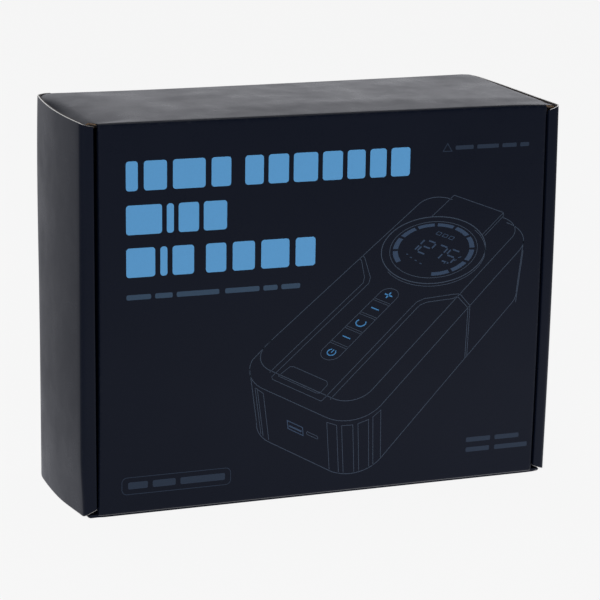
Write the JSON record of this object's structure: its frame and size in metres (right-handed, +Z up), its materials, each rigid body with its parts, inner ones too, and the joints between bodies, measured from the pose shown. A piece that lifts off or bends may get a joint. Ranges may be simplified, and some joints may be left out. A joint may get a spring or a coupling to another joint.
{
  "type": "boxed jump starter pack",
  "caption": "Closed printed mailer carton on its long edge, with hinged lid and folding flaps; an insert inside holds a portable jump starter with air pump.",
  "frame": {"origin": "centre of the bounding box's underside, which is the floor the tuck wall stands on", "axes": "+Z up; +X across the lid to the right when facing it; the lid faces -Y and the base panel +Y"},
  "size_m": [0.25, 0.097, 0.198],
  "materials": {
    "printed_board": "satin",
    "kraft_board": "matte",
    "white_foam": "matte",
    "white_card": "matte",
    "manual_paper": "matte",
    "casing_plastic": "satin",
    "gloss_black": "gloss",
    "grip_rubber": "matte",
    "screen_glass": "gloss",
    "key_plastic": "satin",
    "lamp_plastic": "gloss",
    "circuit_board": "satin",
    "steel": "satin",
    "brass": "satin",
    "blue_plastic": "satin",
    "pump_plastic": "matte"
  },
  "bodies": {
    "pack": {"base_panel": "printed_board", "hinge_wall": "printed_board", "tuck_wall": "printed_board", "side_wall_left": "printed_board", "side_wall_right": "printed_board", "rolled_edge_left": "printed_board", "rolled_edge_right": "printed_board", "inner_wall_left": "kraft_board", "inner_wall_right": "kraft_board", "hinge_corner_flap_left": "kraft_board", "hinge_corner_flap_right": "kraft_board", "tuck_corner_flap_left": "kraft_board", "tuck_corner_flap_right": "kraft_board", "foam_insert": "white_foam", "accessory_sleeve": "white_card", "accessory_end_left": "white_card", "accessory_end_right": "white_card", "manual_cover": "manual_paper", "manual_pages": "manual_paper", "lower_casing": "casing_plastic", "upper_casing": "casing_plastic", "rear_bridge": "casing_plastic", "face_plate": "gloss_black", "display_bezel": "gloss_black", "display_module": "gloss_black", "grip_pad_left": "grip_rubber", "grip_pad_right": "grip_rubber", "display_lens": "screen_glass", "lamp_lens": "lamp_plastic", "key_board": "circuit_board", "main_board": "circuit_board", "usb_a_port": "steel", "usb_c_port": "steel", "pump_motor": "steel", "pump_cylinder": "steel", "casing_screw_1": "steel", "casing_screw_2": "steel", "casing_screw_3": "steel", "casing_screw_4": "steel", "air_outlet": "brass", "battery_cell_1": "blue_plastic", "battery_cell_2": "blue_plastic", "battery_cell_3": "blue_plastic", "jump_socket": "blue_plastic", "pump_frame": "pump_plastic"},
    "lid": {"lid_panel": "printed_board"},
    "tuck_flap": {"lid_tuck_flap": "printed_board"},
    "side_flap_left": {"lid_side_flap_left": "printed_board"},
    "side_flap_right": {"lid_side_flap_right": "printed_board"},
    "power_key": {"key_power": "key_plastic"},
    "light_key": {"key_light": "key_plastic"},
    "mode_key": {"key_mode": "key_plastic"},
    "minus_key": {"key_minus": "key_plastic"},
    "plus_key": {"key_plus": "key_plastic"},
    "socket_door": {"socket_cover": "grip_rubber"},
    "crank": {"crank_gear": "pump_plastic"},
    "pump_drive": {"motor_shaft": "steel", "motor_pinion": "brass"},
    "piston": {"pump_piston": "pump_plastic"}
  },
  "joints": [
    {"name": "lid_hinge", "type": "hinge", "parent": "pack", "child": "lid", "pos_m": [0, -0.0485, 0.198], "axis": [-1, 0, 0], "range_deg": [0, 180]},
    {"name": "tuck_flap_crease", "type": "hinge", "parent": "lid", "child": "tuck_flap", "pos_m": [0, -0.047, 0.0034], "axis": [1, 0, 0], "range_deg": [0, 60]},
    {"name": "left_flap_crease", "type": "hinge", "parent": "lid", "child": "side_flap_left", "pos_m": [-0.1157, -0.047, 0.101], "axis": [0, 0, -1], "range_deg": [0, 60]},
    {"name": "right_flap_crease", "type": "hinge", "parent": "lid", "child": "side_flap_right", "pos_m": [0.1157, -0.047, 0.101], "axis": [0, 0, 1], "range_deg": [0, 60]},
    {"name": "power_press", "type": "slide", "parent": "pack", "child": "power_key", "axis": [0, 1, 0], "range_m": [0, 0.0008], "stiffness_N_per_m": 1200},
    {"name": "light_press", "type": "slide", "parent": "pack", "child": "light_key", "axis": [0, 1, 0], "range_m": [0, 0.0008], "stiffness_N_per_m": 1200},
    {"name": "mode_press", "type": "slide", "parent": "pack", "child": "mode_key", "axis": [0, 1, 0], "range_m": [0, 0.0008], "stiffness_N_per_m": 1200},
    {"name": "minus_press", "type": "slide", "parent": "pack", "child": "minus_key", "axis": [0, 1, 0], "range_m": [0, 0.0008], "stiffness_N_per_m": 1200},
    {"name": "plus_press", "type": "slide", "parent": "pack", "child": "plus_key", "axis": [0, 1, 0], "range_m": [0, 0.0008], "stiffness_N_per_m": 1200},
    {"name": "socket_door_hinge", "type": "hinge", "parent": "pack", "child": "socket_door", "pos_m": [0.0933, 0.0305, 0.133], "axis": [0, 0, 1], "range_deg": [0, 85]},
    {"name": "crank_spin", "type": "hinge", "parent": "pack", "child": "crank", "pos_m": [0.043, 0.0125, 0.144], "axis": [1, 0, 0], "continuous": true},
    {"name": "motor_spin", "type": "hinge", "parent": "pack", "child": "pump_drive", "pos_m": [0.043, 0.0125, 0.12], "axis": [1, 0, 0], "continuous": true},
    {"name": "piston_stroke", "type": "slide", "parent": "pack", "child": "piston", "axis": [0, 0, 1], "range_m": [-0.006, 0.006]}
  ],
  "couplings": [
    {"joint": "motor_spin", "follows": "crank_spin", "ratio": -4}
  ]
}
